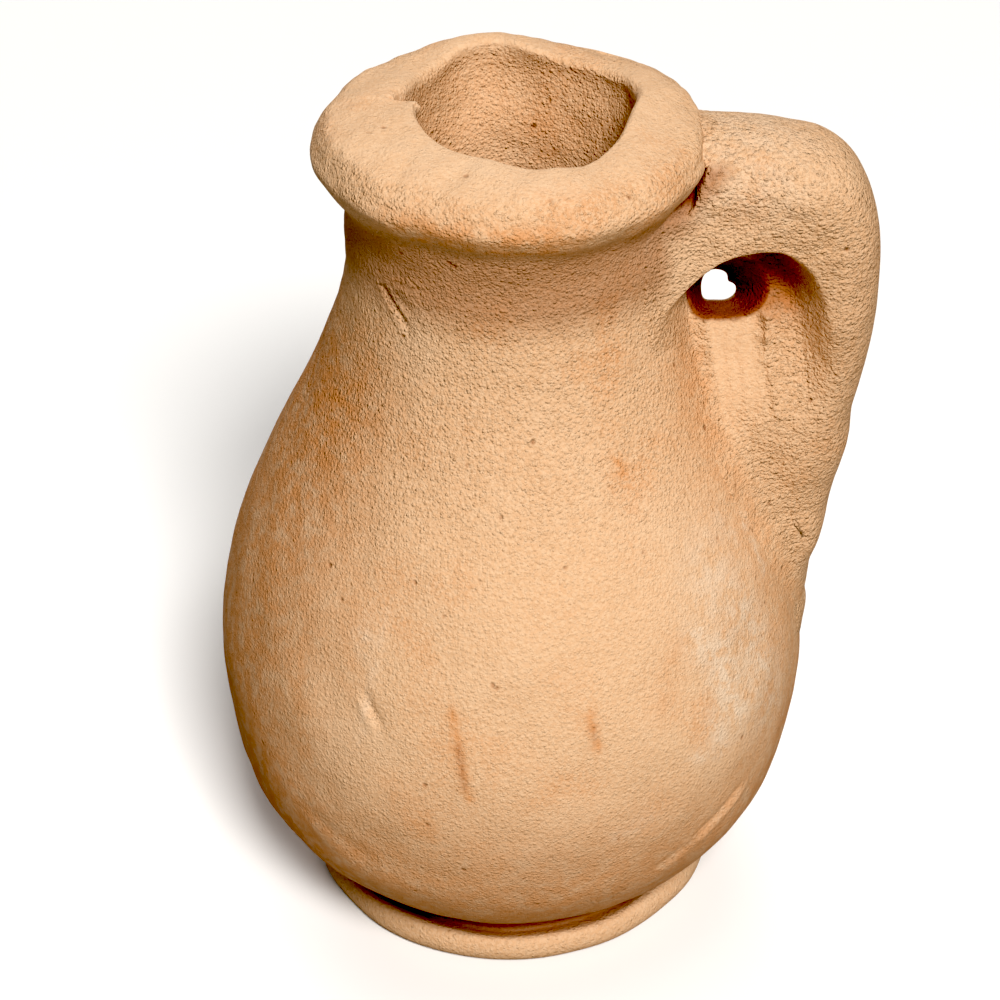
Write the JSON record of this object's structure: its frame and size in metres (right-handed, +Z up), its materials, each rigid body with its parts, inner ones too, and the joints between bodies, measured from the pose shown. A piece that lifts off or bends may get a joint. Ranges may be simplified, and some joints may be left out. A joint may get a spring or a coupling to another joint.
{
  "type": "miniature clay jug",
  "caption": "Small hand-made jug of unglazed fired clay: round belly, narrow neck, thick wide lip, flat disc foot and a pierced strap handle from lip to shoulder.",
  "frame": {"origin": "centre of the foot's underside, on the axis of the turned body", "axes": "+Z up along the axis of the turned body, through the mouth; +X out along the handle"},
  "size_m": [0.0436, 0.0404, 0.06],
  "materials": {
    "body_clay": "matte, sandy",
    "rim_clay": "matte, worn",
    "foot_clay": "matte",
    "handle_clay": "matte, gritty",
    "luting_clay": "matte, rough"
  },
  "bodies": {
    "root": {"body": "body_clay", "rim": "rim_clay", "foot": "foot_clay", "handle": "handle_clay", "rim_join": "luting_clay", "tail_join": "luting_clay"}
  },
  "joints": []
}
